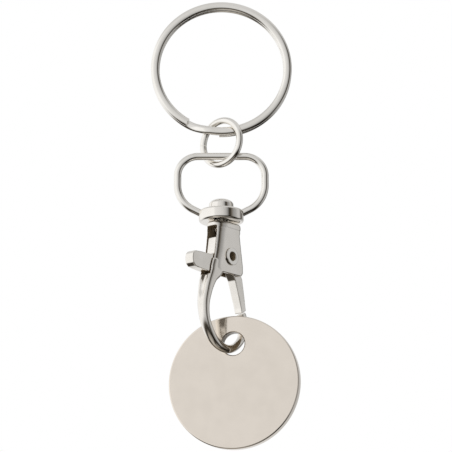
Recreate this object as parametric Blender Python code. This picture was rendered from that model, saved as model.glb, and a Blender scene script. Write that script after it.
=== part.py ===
"""Keyring with a trolley coin: split ring, jump ring, swivel trigger hook and a plain coin.

Metres, +Z up. The keyring hangs along -Z from the origin, which is the inner top of the split
ring. The split ring and the swivel loop face along Y. The hook and the coin are turned.
"""

import math

import bmesh
import bpy
from mathutils import Matrix, Vector

# Split ring: two turns of flattened spring wire, joined by a crank.
ring_outer_diameter = 0.0250
ring_wire_width = 0.00150
ring_wire_thickness = 0.00092
ring_coil_gap = 0.00012
ring_edge_radius = 0.00040
ring_crank_left_deg = 29.0
ring_crank_right_deg = 5.0
ring_end_play_deg = 1.6
ring_tail_taper_deg = 9.0
ring_tail_taper_share = 0.45
ring_step_deg = 8.0

# Jump ring: round wire bent round until its cut ends nearly meet.
jump_inner_diameter = 0.0068
jump_wire_diameter = 0.00120
jump_cut_gap = 0.00015
jump_turn_deg = 37.0
jump_steps = 48
ring_hang_clearance = 0.00034
bar_hang_clearance = 0.00005

# Swivel loop: bent round wire, flat on top, its two ends held in the collar.
loop_wire_diameter = 0.0013
loop_outer_width = 0.0166
loop_bar_height = 0.0109
loop_top_corner_radius = 0.00355
loop_widest_height = 0.0057
loop_arm_slope_deg = 27.0
loop_socket_depth = 0.0015
loop_socket_gap = 0.00012
loop_arc_steps = 10

# Swivel collar and the headed stud that it turns on.
collar_diameter = 0.0078
collar_height = 0.0021
collar_edge_radius = 0.00045
stud_post_diameter = 0.0022
stud_running_gap = 0.00010
stud_head_diameter = 0.0043
stud_head_rim = 0.00085
stud_dome_height = 0.00105
stud_tail_share = 0.6
swivel_gap = 0.00018

# Hook body: one casting with a slotted upper block and a tapering hook.
hook_turn_deg = 50.0
body_height = 0.0090
body_width = 0.0077
body_thickness = 0.0036
hook_drop = 0.0233
hook_gape = 0.0108
hook_wire_width = 0.0016
hook_wire_thickness = 0.0020
slot_side_gap = 0.00015
slot_end_gap = 0.00025
slot_crown = 0.0009
slot_back_wall = 0.00072
slot_wall_end_share = 0.85
spine_groove_width = 0.0015
spine_groove_depth = 0.00035

# Gate lever: flat lever on a hollow rivet, with a thumb knob and a gate arm.
lever_length = 0.0113
gate_reach = 0.00998
lever_thickness = 0.0018
lever_edge_radius = 0.00020
lever_boss_radius = 0.0020
lever_tip_thickness_share = 0.85
pivot_across = 0.00085
pivot_down = 0.0072
gate_gap = 0.00022

# Hollow rivet that the lever turns on, and the torsion spring round it.
rivet_shank_diameter = 0.0019
rivet_hole_diameter = 0.0015
rivet_flange_diameter = 0.00305
rivet_flange_height = 0.00020
rivet_fit_gap = 0.00010
spring_wire_diameter = 0.00030
spring_pitch = 0.00033
spring_turns = 1.75
spring_leg_length = 0.0026
spring_side_gap = 0.00010

# Coin: plain token with rounded rims and one round hole near its edge.
coin_turn_deg = -14.0
coin_diameter = 0.02285
coin_thickness = 0.0019
coin_rim_radius = 0.00022
coin_hole_offset = 0.00661
coin_seat_depth = 0.00285
coin_play = 0.00069
coin_shift_share = 0.30
coin_lift_share = 0.82

overrun = 0.0010


# The hook's body block, from its round shoulder down to the flat underside. Each row holds
# shares: depth of body_height, spine side and gate side of body_width, thickness of
# body_thickness, and how round the corners are.
block_shares = (
    (0.00, 0.220, 0.300, 0.78, 0.90),
    (0.03, 0.280, 0.385, 0.93, 0.75),
    (0.09, 0.325, 0.440, 1.04, 0.55),
    (0.16, 0.335, 0.455, 1.05, 0.45),
    (0.195, 0.335, 0.450, 1.02, 0.42),
    (0.21, 0.328, 0.430, 0.95, 0.38),
    (0.42, 0.366, 0.475, 0.94, 0.38),
    (0.62, 0.410, 0.520, 0.91, 0.38),
    (0.80, 0.458, 0.560, 0.89, 0.38),
    (0.93, 0.500, 0.570, 0.88, 0.42),
    (0.985, 0.512, 0.550, 0.84, 0.55),
    (1.00, 0.512, 0.520, 0.76, 0.75),
)

# The hook's centre line below the block. Each row holds shares: across of hook_gape, down of
# hook_drop, width of hook_wire_width, thickness of hook_wire_thickness, and roundness.
hook_shares = (
    (-0.184, 0.370, 2.20, 1.48, 0.45),
    (-0.250, 0.436, 2.00, 1.46, 0.45),
    (-0.314, 0.486, 1.42, 1.40, 0.50),
    (-0.358, 0.532, 1.22, 1.32, 0.52),
    (-0.396, 0.588, 1.08, 1.22, 0.58),
    (-0.436, 0.687, 0.96, 1.08, 0.66),
    (-0.412, 0.785, 0.93, 0.95, 0.76),
    (-0.335, 0.862, 0.99, 0.93, 0.85),
    (-0.215, 0.930, 1.04, 0.92, 0.95),
    (-0.060, 0.973, 1.02, 0.86, 1.00),
    (0.120, 0.990, 0.95, 0.80, 1.00),
    (0.300, 0.972, 0.89, 0.75, 1.00),
    (0.450, 0.920, 0.85, 0.73, 1.00),
    (0.517, 0.860, 0.85, 0.74, 0.90),
)
nose_lead_share = 0.090
nose_across_share = 0.434
nose_width_share = 0.86
nose_thickness_share = 0.75
nose_corner_share = 0.55
nose_round_share = 0.45

# The lever's outline round its pivot, clockwise from the top of its spine flange, as shares of
# lever_length. The arm's tip is added at the lever's full length.
lever_flange_shares = ((-0.294, 0.235), (-0.286, 0.270), (-0.258, 0.283), (-0.210, 0.262))
lever_arm_outer_shares = ((0.227, -0.115), (0.337, -0.292), (0.396, -0.584), (0.428, -0.745))
lever_arm_inner_shares = ((0.315, -0.750), (0.246, -0.540), (0.168, -0.330), (0.080, -0.215))
lever_knob_shares = (
    (-0.120, -0.170),
    (-0.250, -0.255),
    (-0.380, -0.302),
    (-0.570, -0.286),
    (-0.680, -0.277),
    (-0.765, -0.262),
    (-0.808, -0.222),
    (-0.826, -0.145),
    (-0.812, -0.073),
    (-0.772, -0.030),
    (-0.580, -0.018),
    (-0.385, -0.020),
    (-0.330, 0.000),
)
tip_outer_share = 0.489
tip_inner_share = 0.373
knob_bottom_share = 0.307

# Values that follow from the sizes above.
ring_inner_radius = ring_outer_diameter / 2 - ring_wire_width
ring_mid_radius = ring_outer_diameter / 2 - ring_wire_width / 2
ring_depth = 2 * ring_wire_thickness + ring_coil_gap
ring_shift = ring_wire_thickness + ring_coil_gap
ring_centre_z = -ring_inner_radius
jump_inner_radius = jump_inner_diameter / 2
jump_mid_radius = jump_inner_radius + jump_wire_diameter / 2
loop_wire_radius = loop_wire_diameter / 2
collar_radius = collar_diameter / 2
post_radius = stud_post_diameter / 2
slot_width = lever_thickness + 2 * slot_side_gap
rivet_radius = rivet_shank_diameter / 2
body_top_z = -collar_height / 2 - swivel_gap
body_bottom_z = body_top_z - body_height


def chord_depth(radius, half_chord):
    """How far below the inside of a ring a chord of the given half width first fits."""
    return radius - math.sqrt(radius ** 2 - half_chord ** 2)


# The jump ring stands askew, so the split ring and the loop's bar cross it on a slant.
slant = math.sin(math.radians(jump_turn_deg))
ring_half_chord = ring_depth / 2 / slant
bar_half_chord = loop_wire_radius / slant
jump_rise = chord_depth(jump_inner_radius, ring_half_chord) + ring_hang_clearance
bar_rise = chord_depth(jump_inner_radius, bar_half_chord) + bar_hang_clearance
jump_centre_z = -2 * ring_inner_radius + jump_rise - jump_inner_radius
bar_z = jump_centre_z - jump_inner_radius + bar_rise + loop_wire_radius
swivel_z = bar_z - loop_bar_height


def clear_scene():
    for item in list(bpy.data.objects):
        bpy.data.objects.remove(item, do_unlink=True)


def nickel(name, colour, roughness):
    """Plated metal finish."""
    material = bpy.data.materials.new(name)
    material.use_nodes = True
    shader = material.node_tree.nodes["Principled BSDF"]
    shader.inputs["Base Color"].default_value = colour
    shader.inputs["Metallic"].default_value = 1.0
    shader.inputs["Roughness"].default_value = roughness
    return material


def add_axis(name, place, turn_deg=0.0, parent=None):
    """Empty that carries a moving group, set on its axis."""
    empty = bpy.data.objects.new(name, None)
    bpy.context.scene.collection.objects.link(empty)
    empty.parent = parent
    empty.location = place
    empty.rotation_euler = (0.0, 0.0, math.radians(turn_deg))
    return empty


def add_piece(name, shape, material, parent=None):
    """Turn a bmesh into a named object with its faces pointing out."""
    bmesh.ops.recalc_face_normals(shape, faces=shape.faces)
    mesh = bpy.data.meshes.new(name)
    shape.to_mesh(mesh)
    shape.free()
    piece = bpy.data.objects.new(name, mesh)
    bpy.context.scene.collection.objects.link(piece)
    piece.parent = parent
    if material:
        mesh.materials.append(material)
        mesh.shade_smooth()
        mesh.set_sharp_from_angle(angle=math.radians(35.0))
    return piece


def add_cutter(name, shape, parent=None):
    cutter = add_piece(name, shape, None, parent)
    cutter.hide_render = True
    cutter.display_type = "WIRE"
    return cutter


def boolean(piece, tool, operation="DIFFERENCE"):
    modifier = piece.modifiers.new(tool.name, "BOOLEAN")
    modifier.operation = operation
    modifier.solver = "EXACT"
    modifier.object = tool


def rounded_section(width, thickness, roundness, corner_steps):
    """Rounded rectangle; roundness 1 gives a circle or a slot with full round ends."""
    radius = roundness * min(width, thickness) / 2
    points = []
    for quarter in range(4):
        side_a = 1 if quarter in (0, 3) else -1
        side_b = 1 if quarter in (0, 1) else -1
        centre_a = side_a * (width / 2 - radius)
        centre_b = side_b * (thickness / 2 - radius)
        for step in range(corner_steps):
            angle = math.pi / 2 * (quarter + (step + 0.5) / corner_steps)
            points.append((centre_a + radius * math.cos(angle), centre_b + radius * math.sin(angle)))
    return points


def loft(stations, closed=False):
    """Skin a row of sections; a station is its centre, two axes and its section points."""
    shape = bmesh.new()
    rings = []
    for centre, axis_a, axis_b, section in stations:
        rings.append([shape.verts.new(centre + axis_a * a + axis_b * b) for a, b in section])
    count = len(rings[0])
    pairs = list(zip(rings, rings[1:]))
    if closed:
        pairs.append((rings[-1], rings[0]))
    for first, second in pairs:
        for index in range(count):
            after = (index + 1) % count
            shape.faces.new((first[index], first[after], second[after], second[index]))
    if not closed:
        shape.faces.new(rings[0])
        shape.faces.new(rings[-1])
    return shape


def lathe(profile, segments, axis="Z"):
    """Revolve (radius, height) points round an axis; a zero radius closes on the axis."""
    shape = bmesh.new()
    rings = []
    for radius, height in profile:
        if radius == 0:
            rings.append([shape.verts.new((0, 0, height))])
            continue
        ring = []
        for step in range(segments):
            angle = math.tau * step / segments
            ring.append(shape.verts.new((radius * math.cos(angle), radius * math.sin(angle), height)))
        rings.append(ring)
    closed_profile = len(rings[0]) > 1
    pairs = list(zip(rings, rings[1:]))
    if closed_profile:
        pairs.append((rings[-1], rings[0]))
    for first, second in pairs:
        for step in range(segments):
            after = (step + 1) % segments
            corners = [first[step % len(first)], first[after % len(first)]]
            corners += [second[after % len(second)], second[step % len(second)]]
            unique = list(dict.fromkeys(corners))
            if len(unique) > 2:
                shape.faces.new(unique)
    if axis == "Y":
        shape.transform(Matrix.Rotation(math.radians(90.0), 4, "X"))
    return shape


def extrude_outline(points, thickness):
    """Flat plate with the given X-Z outline, centred on Y."""
    shape = bmesh.new()
    front = [shape.verts.new((x, -thickness / 2, z)) for x, z in points]
    face = shape.faces.new(front)
    grown = bmesh.ops.extrude_face_region(shape, geom=[face])
    moved = [item for item in grown["geom"] if isinstance(item, bmesh.types.BMVert)]
    bmesh.ops.translate(shape, vec=(0, thickness, 0), verts=moved)
    return shape


def arc(centre, radius, start_deg, end_deg, steps):
    """Points on an arc, ends included."""
    points = []
    for step in range(steps + 1):
        angle = math.radians(start_deg + (end_deg - start_deg) * step / steps)
        points.append((centre[0] + radius * math.cos(angle), centre[1] + radius * math.sin(angle)))
    return points


def smooth_rows(rows, steps):
    """Catmull-Rom curve through rows of values, so a few rows give a fair shape."""
    fine = []
    last = len(rows) - 1
    for index in range(last):
        before = rows[max(index - 1, 0)]
        start = rows[index]
        end = rows[index + 1]
        after = rows[min(index + 2, last)]
        for step in range(steps):
            t = step / steps
            row = []
            for p0, p1, p2, p3 in zip(before, start, end, after):
                bend = (p2 - p0) * t + (2 * p0 - 5 * p1 + 4 * p2 - p3) * t ** 2
                row.append(p1 + (bend + (3 * p1 - p0 - 3 * p2 + p3) * t ** 3) / 2)
            fine.append(row)
    fine.append(list(rows[last]))
    return fine


def smoothstep(value):
    value = min(max(value, 0.0), 1.0)
    return value * value * (3 - 2 * value)


def make_split_ring(material):
    """Wire runs clockwise: front turn, crank to the back plane, back turn, tapered tail."""
    start_deg = 270.0 - ring_crank_left_deg - ring_end_play_deg
    crank_from = 360.0 - (ring_crank_left_deg + ring_crank_right_deg) + ring_end_play_deg
    crank_from += 2 * ring_crank_right_deg
    crank_to = 360.0 - ring_end_play_deg
    tail_end = 720.0 - (ring_crank_left_deg - ring_crank_right_deg) - 3 * ring_end_play_deg
    roundness = 2 * ring_edge_radius / ring_wire_thickness
    stations = []
    steps = math.ceil(tail_end / ring_step_deg)
    turned_at = [tail_end * step / steps for step in range(steps + 1)]
    for turned in turned_at:
        angle = math.radians(start_deg - turned)
        shift = smoothstep((turned - crank_from) / (crank_to - crank_from))
        taper = smoothstep((turned - tail_end + ring_tail_taper_deg) / ring_tail_taper_deg)
        width = ring_wire_width * (1 - ring_tail_taper_share * taper)
        outward = Vector((math.cos(angle), 0, math.sin(angle)))
        centre = outward * ring_mid_radius + Vector((0, (shift - 0.5) * ring_shift, ring_centre_z))
        section = rounded_section(width, ring_wire_thickness, roundness, 3)
        stations.append((centre, outward, Vector((0, 1, 0)), section))
    return add_piece("split_ring", loft(stations), material)


def make_jump_ring(material, parent):
    """Open ring; its cut faces the middle of its far side."""
    turn = math.radians(jump_turn_deg)
    across = Vector((math.cos(turn), -math.sin(turn), 0))
    normal = Vector((math.sin(turn), math.cos(turn), 0))
    cut_angle = jump_cut_gap / jump_mid_radius
    section = rounded_section(jump_wire_diameter, jump_wire_diameter, 1.0, 3)
    centre = Vector((0, 0, jump_centre_z - ring_centre_z))
    stations = []
    for step in range(jump_steps + 1):
        angle = math.pi + cut_angle / 2 + (math.tau - cut_angle) * step / jump_steps
        outward = across * math.cos(angle) + Vector((0, 0, math.sin(angle)))
        stations.append((centre + outward * jump_mid_radius, outward, normal, section))
    return add_piece("jump_ring", loft(stations), material, parent)


def loop_half_route():
    """Right half of the loop's centre line, from inside the collar to the middle of the bar."""
    slope = math.tan(math.radians(loop_arm_slope_deg))
    turn_deg = 90.0 - loop_arm_slope_deg
    half_width = loop_outer_width / 2 - loop_wire_radius
    start_x = collar_radius - loop_socket_depth
    run = half_width - start_x
    turn = math.radians(turn_deg)
    lower_radius = (loop_widest_height - run * slope) / (math.sin(turn) - (1 - math.cos(turn)) * slope)
    lower_centre = (half_width - lower_radius, loop_widest_height)
    upper_centre = (half_width - loop_top_corner_radius, loop_bar_height - loop_top_corner_radius)
    lower = arc(lower_centre, lower_radius, -turn_deg, 0.0, loop_arc_steps)
    upper = arc(upper_centre, loop_top_corner_radius, 0.0, 90.0, loop_arc_steps)
    start = (start_x, 0.0)
    middle = (start_x + (lower[0][0] - start_x) / 2, lower[0][1] / 2)
    return [start, middle] + lower + upper


def flat_tube(route, radius, corner_steps):
    """Round wire along points in the X-Z plane."""
    section = rounded_section(2 * radius, 2 * radius, 1.0, corner_steps)
    stations = []
    last = len(route) - 1
    for index, (x, z) in enumerate(route):
        before = route[max(index - 1, 0)]
        after = route[min(index + 1, last)]
        along = Vector((after[0] - before[0], 0, after[1] - before[1])).normalized()
        side = Vector((along.z, 0, -along.x))
        stations.append((Vector((x, 0, z)), side, Vector((0, 1, 0)), section))
    return stations


def make_loop(material, parent):
    right = loop_half_route()
    left = [(-x, z) for x, z in reversed(right)]
    stations = flat_tube(right + left, loop_wire_radius, 3)
    loop = add_piece("swivel_loop", loft(stations), material, parent)
    loop.location = (0, 0, -loop_bar_height)
    return loop


def make_collar(material, parent):
    """Turned ring with a bore for the stud and two slanted side sockets for the loop's ends."""
    bore = post_radius + stud_running_gap
    half = collar_height / 2
    edge = collar_edge_radius
    top = arc((collar_radius - edge, half - edge), edge, 90.0, 0.0, 3)
    bottom = arc((collar_radius - edge, edge - half), edge, 0.0, -90.0, 3)
    profile = [(bore, half)] + top + bottom + [(bore, -half)]
    collar = add_piece("swivel_collar", lathe(profile, 48), material, parent)
    collar.location = (0, 0, -loop_bar_height)
    slope = math.radians(loop_arm_slope_deg)
    radius = loop_wire_radius + loop_socket_gap
    start_x = collar_radius - loop_socket_depth - loop_socket_gap
    for name, side in (("socket_right", 1), ("socket_left", -1)):
        along = Vector((side * math.cos(slope), 0, math.sin(slope)))
        across = Vector((-side * math.sin(slope), 0, math.cos(slope)))
        start = Vector((side * start_x, 0, 0))
        end = start + along * (loop_socket_depth + 2 * overrun)
        section = rounded_section(2 * radius, 2 * radius, 1.0, 4)
        stations = [(point, across, Vector((0, 1, 0)), section) for point in (start, end)]
        socket = add_cutter(name, loft(stations), parent)
        socket.location = collar.location
        boolean(collar, socket)
    return collar


def make_stud(material, parent):
    """Headed pin: the collar turns on its post, and its tail is pressed in the hook's crown."""
    head = stud_head_diameter / 2
    seat = collar_height / 2 + swivel_gap
    crown = seat + stud_head_rim
    dome = []
    for share in (0.0, 0.35, 0.65, 0.88):
        dome.append((head * math.cos(share * math.pi / 2), crown + stud_dome_height * math.sin(share * math.pi / 2)))
    tail = body_top_z - slot_crown * stud_tail_share
    profile = [(0, crown + stud_dome_height)] + dome[::-1]
    profile += [(head, seat + swivel_gap), (head - swivel_gap, seat), (post_radius, seat)]
    profile += [(post_radius, tail), (0, tail)]
    return add_piece("swivel_stud", lathe(profile, 32), material, parent)


def nose_rows():
    """Last rows of the hook's centre line: the nose points at the pivot, just below the tip."""
    reach = gate_reach + gate_gap
    down = math.sqrt(1 - nose_across_share ** 2)
    rows = []
    for length in (reach * (1 + nose_lead_share), reach):
        rows.append([pivot_across + length * nose_across_share, -pivot_down - length * down])
    return rows


def hook_rows():
    rows = []
    for across, down, width, thickness, roundness in hook_shares:
        row = [across * hook_gape, -down * hook_drop]
        row += [width * hook_wire_width, thickness * hook_wire_thickness, roundness]
        rows.append(row)
    width = nose_width_share * hook_wire_width
    thickness = nose_thickness_share * hook_wire_thickness
    for place in nose_rows():
        rows.append(place + [width, thickness, nose_corner_share])
    return rows


def hook_stations():
    """Sections square to the hook's centre line, in the hook's own plane."""
    rows = smooth_rows(hook_rows(), 4)
    last = len(rows) - 1
    stations = []
    for index, (x, z, width, thickness, roundness) in enumerate(rows):
        before = rows[max(index - 1, 0)]
        after = rows[min(index + 1, last)]
        along = Vector((after[0] - before[0], 0, after[1] - before[1])).normalized()
        side = Vector((along.z, 0, -along.x))
        section = rounded_section(width, thickness, roundness, 4)
        stations.append((Vector((x, 0, z)), side, Vector((0, 1, 0)), section))
    centre, side, up, section = stations[-1]
    along = Vector((-side.z, 0, side.x))
    edge = nose_round_share * hook_wire_width * nose_width_share / 4
    shrink = 1 - 2 * edge / (nose_width_share * hook_wire_width)
    small = [(a * shrink, b * shrink) for a, b in section]
    stations[-1] = (centre - along * edge, side, up, section)
    stations.append((centre, side, up, small))
    return stations


def make_block():
    """Upper block of the hook: level sections from the shoulder to the underside."""
    stations = []
    for down, spine, gate, thickness, roundness in block_shares:
        left = -spine * body_width
        right = gate * body_width
        centre = Vector(((left + right) / 2, 0, body_top_z - down * body_height))
        section = rounded_section(right - left, thickness * body_thickness, roundness, 4)
        stations.append((centre, Vector((1, 0, 0)), Vector((0, 1, 0)), section))
    return loft(stations)


def slot_bottom_z():
    return -pivot_down - knob_bottom_share * lever_length - slot_end_gap


def make_slot():
    """Slot for the lever: open at the spine and the underside, walled above on the gate side."""
    spine = -body_width
    gate = body_width
    wall = block_shares[6][2] * body_width - slot_back_wall
    wall_end = -pivot_down + lever_boss_radius * slot_wall_end_share
    bottom = slot_bottom_z()
    below = min(bottom, body_bottom_z - overrun)
    top = body_top_z - slot_crown
    points = [(spine, bottom), (0, bottom), (0, below), (gate, below)]
    points += [(gate, wall_end), (wall, wall_end), (wall, top), (spine, top)]
    return extrude_outline(points, slot_width)


def make_spine_groove():
    """Shallow hollow down the back of the spine, below the knob."""
    rows = smooth_rows(hook_rows(), 4)
    radius = spine_groove_width / 2
    stations = []
    top = slot_bottom_z() + overrun
    bottom = -hook_shares[5][1] * hook_drop
    inside = [row for row in rows if bottom <= row[1] <= top and row[0] < 0]
    for index, (x, z, width, thickness, roundness) in enumerate(inside):
        before = inside[max(index - 1, 0)]
        after = inside[min(index + 1, len(inside) - 1)]
        along = Vector((after[0] - before[0], 0, after[1] - before[1])).normalized()
        side = Vector((along.z, 0, -along.x))
        fade = smoothstep((len(inside) - 1 - index) / 4)
        out = width / 2 + radius - spine_groove_depth * fade
        centre = Vector((x, 0, z)) + side * out
        section = rounded_section(2 * radius, 2 * radius, 1.0, 3)
        stations.append((centre, side, Vector((0, 1, 0)), section))
    return loft(stations)


def make_hook(material, parent):
    hook = add_piece("hook_body", make_block(), material, parent)
    wire = add_cutter("hook_wire", loft(hook_stations()), parent)
    slot = add_cutter("lever_slot", make_slot(), parent)
    groove = add_cutter("spine_groove", make_spine_groove(), parent)
    hole_radius = rivet_radius + rivet_fit_gap
    rivet_hole = add_cutter("rivet_hole", lathe(rod_profile(hole_radius, body_thickness), 24, "Y"), parent)
    rivet_hole.location = (pivot_across, 0, -pivot_down)
    stud_radius = post_radius + stud_running_gap
    stud_hole = add_cutter("stud_hole", lathe(rod_profile(stud_radius, 2 * (slot_crown + overrun)), 32), parent)
    stud_hole.location = (0, 0, body_top_z)
    boolean(hook, wire, "UNION")
    for cutter in (slot, groove, rivet_hole, stud_hole):
        boolean(hook, cutter)
    return hook


def rod_profile(radius, length):
    return [(0, length / 2), (radius, length / 2), (radius, -length / 2), (0, -length / 2)]


def lever_outline():
    """Outline round the pivot: spine flange, boss, gate arm with its tip, then the thumb knob."""
    boss = arc((0, 0), lever_boss_radius, 112.0, -8.0, 8)
    tip = []
    for share in (tip_outer_share, (tip_outer_share + tip_inner_share) / 2, tip_inner_share):
        tip.append((share * gate_reach, -math.sqrt(1 - share ** 2) * gate_reach))
    scaled = []
    for row in (lever_flange_shares, lever_arm_outer_shares, lever_arm_inner_shares, lever_knob_shares):
        scaled.append([(x * lever_length, z * lever_length) for x, z in row])
    flange, arm_outer, arm_inner, knob = scaled
    return flange + boss + arm_outer + tip + arm_inner + knob


def make_lever(material, parent):
    shape = extrude_outline(lever_outline(), lever_thickness)
    rims = [edge for edge in shape.edges if abs(edge.verts[0].co.y - edge.verts[1].co.y) < overrun / 100]
    bmesh.ops.bevel(shape, geom=rims, offset=lever_edge_radius, segments=2, profile=0.5, affect="EDGES")
    arm_top = -2 * lever_boss_radius
    arm_length = lever_length + arm_top
    for corner in shape.verts:
        if corner.co.x > 0:
            down = smoothstep((arm_top - corner.co.z) / arm_length)
            corner.co.y *= 1 - (1 - lever_tip_thickness_share) * down
    lever = add_piece("gate_lever", shape, material, parent)
    bore = add_cutter("lever_bore", lathe(rod_profile(rivet_radius + rivet_fit_gap, body_thickness), 24, "Y"), parent)
    well = add_cutter("spring_well", make_spring_well(), parent)
    boolean(lever, bore)
    boolean(lever, well)
    return lever


def spring_mid_radius():
    return rivet_radius + rivet_fit_gap + spring_side_gap + spring_wire_diameter / 2


def spring_width():
    return spring_pitch * spring_turns + spring_wire_diameter


def make_spring_well():
    """Round well in the lever's far face, open upwards where the spring's leg leaves it."""
    radius = spring_mid_radius() + spring_wire_diameter / 2 + 2 * spring_side_gap
    depth = spring_width() + 2 * spring_side_gap - slot_side_gap
    top = 2 * lever_boss_radius
    outline = arc((0, 0), radius, 90.0, 360.0, 24) + [(radius, top), (0, top)]
    shape = extrude_outline(outline, depth + overrun)
    centre_y = lever_thickness / 2 + overrun / 2 - depth / 2
    bmesh.ops.translate(shape, vec=(0, centre_y, 0), verts=shape.verts)
    return shape


def make_rivet(material, parent):
    """Hollow rivet: a tube through both cheeks with a rolled flange on each face."""
    hole = rivet_hole_diameter / 2
    flange = rivet_flange_diameter / 2
    cheek = cheek_half_thickness() + rivet_fit_gap
    rim = rivet_flange_height
    outer = [(rivet_radius, cheek), (flange, cheek), (flange, cheek + rim / 2), (flange - rim / 2, cheek + rim)]
    outer += [(hole + rim, cheek + rim), (hole, cheek)]
    inner = [(radius, -height) for radius, height in reversed(outer)]
    return add_piece("gate_rivet", lathe(outer + inner, 28, "Y"), material, parent)


def cheek_half_thickness():
    """Half the block's thickness at the rivet, read off the block's own rows."""
    share = (pivot_down + body_top_z) / body_height
    for upper, lower in zip(block_shares, block_shares[1:]):
        if upper[0] <= share <= lower[0]:
            between = (share - upper[0]) / (lower[0] - upper[0])
            return (upper[3] + (lower[3] - upper[3]) * between) * body_thickness / 2
    return block_shares[-1][3] * body_thickness / 2


def make_spring(material, parent):
    """Torsion spring: close coils round the rivet and one leg up against the gate-side wall."""
    radius = spring_mid_radius()
    start_y = lever_thickness / 2 + slot_side_gap - spring_side_gap - spring_wire_diameter / 2
    steps = round(24 * spring_turns)
    route = [Vector((radius, start_y, spring_leg_length))]
    route.append(Vector((radius, start_y, spring_leg_length / 2)))
    for step in range(steps + 1):
        angle = -math.tau * spring_turns * step / steps
        drop = spring_pitch * spring_turns * step / steps
        route.append(Vector((radius * math.cos(angle), start_y - drop, radius * math.sin(angle))))
    section = rounded_section(spring_wire_diameter, spring_wire_diameter, 1.0, 2)
    stations = []
    for index, point in enumerate(route):
        before = route[max(index - 1, 0)]
        after = route[min(index + 1, len(route) - 1)]
        along = (after - before).normalized()
        side = along.cross(Vector((0, 1, 0))).normalized()
        stations.append((point, side, side.cross(along), section))
    return add_piece("gate_spring", loft(stations), material, parent)


def coin_hole_radius():
    """Hole that the slanting hook wire passes with play all round."""
    turn = math.radians(90.0 - hook_turn_deg + coin_turn_deg)
    wire = hook_wire_width * hook_shares[10][2]
    return (wire / math.cos(turn) + coin_thickness * math.tan(turn)) / 2 + coin_play


def coin_hole_place():
    """Hole centre from the swivel's centre, where the hook's wire passes the coin's plane."""
    turn = math.radians(hook_turn_deg - coin_turn_deg)
    depth = coin_seat_depth
    along = depth / math.sin(turn)
    rows = smooth_rows(hook_rows(), 4)
    near = min(rows[len(rows) // 2:], key=lambda row: abs(row[0] - along))
    x = along * math.cos(turn) + coin_shift_share * coin_play
    place = Vector((x, depth, near[1] + coin_lift_share * coin_play))
    return Matrix.Rotation(math.radians(coin_turn_deg), 3, "Z") @ place


def make_coin(material, parent):
    """Turned disc, its rims rounded, with a bevelled hole above its centre."""
    radius = coin_diameter / 2
    half = coin_thickness / 2
    rim = coin_rim_radius
    upper = arc((radius - rim, half - rim), rim, 90.0, 0.0, 3)
    lower = arc((radius - rim, rim - half), rim, 0.0, -90.0, 3)
    coin = add_piece("coin", lathe([(0, half)] + upper + lower + [(0, -half)], 80, "Y"), material, parent)
    coin.location = (0, 0, -coin_hole_offset)
    hole = coin_hole_radius()
    flare = hole + rim + overrun
    profile = [(0, half + overrun), (flare, half + overrun), (hole, half - rim)]
    profile += [(hole, rim - half), (flare, -half - overrun), (0, -half - overrun)]
    cutter = add_cutter("coin_hole", lathe(profile, 36, "Y"), parent)
    boolean(coin, cutter)
    return coin


def build():
    clear_scene()
    ring_nickel = nickel("ring_nickel", (0.76, 0.74, 0.70, 1.0), 0.14)
    cast_nickel = nickel("cast_nickel", (0.74, 0.72, 0.68, 1.0), 0.20)
    coin_nickel = nickel("coin_nickel", (0.70, 0.66, 0.61, 1.0), 0.16)
    spring_steel = nickel("spring_steel", (0.55, 0.54, 0.52, 1.0), 0.30)

    ring_axis = add_axis("split_ring_axis", (0, 0, ring_centre_z))
    bar_axis = add_axis("loop_bar_axis", (0, 0, bar_z - ring_centre_z), parent=ring_axis)
    swivel_axis = add_axis("swivel_axis", (0, 0, -loop_bar_height), hook_turn_deg, bar_axis)
    pivot_axis = add_axis("gate_axis", (pivot_across, 0, -pivot_down), parent=swivel_axis)
    hole_place = coin_hole_place()
    hole_place.z -= loop_bar_height
    coin_axis = add_axis("coin_axis", hole_place, coin_turn_deg, bar_axis)

    make_split_ring(ring_nickel)
    make_jump_ring(ring_nickel, ring_axis)
    make_loop(ring_nickel, bar_axis)
    make_collar(cast_nickel, bar_axis)
    make_stud(cast_nickel, swivel_axis)
    make_hook(cast_nickel, swivel_axis)
    make_lever(cast_nickel, pivot_axis)
    make_rivet(ring_nickel, pivot_axis)
    make_spring(spring_steel, pivot_axis)
    make_coin(coin_nickel, coin_axis)


build()
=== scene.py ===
"""Keyring with a plain trolley coin: bright nickel plate, hung from its split ring."""

import math

import bmesh
import bpy
from mathutils import Matrix, Vector


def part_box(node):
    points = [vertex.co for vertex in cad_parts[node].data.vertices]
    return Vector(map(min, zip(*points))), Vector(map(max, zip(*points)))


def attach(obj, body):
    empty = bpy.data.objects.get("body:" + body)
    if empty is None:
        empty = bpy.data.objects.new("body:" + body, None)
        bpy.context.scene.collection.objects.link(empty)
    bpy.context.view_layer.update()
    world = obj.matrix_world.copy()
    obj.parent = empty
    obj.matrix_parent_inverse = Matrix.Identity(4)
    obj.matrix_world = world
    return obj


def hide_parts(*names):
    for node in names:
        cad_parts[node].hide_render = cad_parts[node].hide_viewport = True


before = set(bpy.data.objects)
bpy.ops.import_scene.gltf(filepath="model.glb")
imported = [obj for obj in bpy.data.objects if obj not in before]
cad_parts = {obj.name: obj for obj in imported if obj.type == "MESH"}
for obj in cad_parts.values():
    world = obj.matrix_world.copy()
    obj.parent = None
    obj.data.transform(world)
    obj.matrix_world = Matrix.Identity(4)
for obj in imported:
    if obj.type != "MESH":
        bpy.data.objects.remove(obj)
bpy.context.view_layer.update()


# Split ring: the key ring itself, two turns of flattened spring wire with a crank where the
# front turn steps to the back. It is bright nickel plate over hardened steel wire.
ring_low, ring_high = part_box("split_ring")
ring_outer_radius = (ring_high[0] - ring_low[0]) / 2
ring_centre_z = ring_high[2] - ring_outer_radius
ring_wire_width = 0.00150
ring_wire_thickness = 0.00092
ring_coil_gap = 0.00012
ring_start_deg = 239.4
ring_crank_from_deg = 337.6
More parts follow.
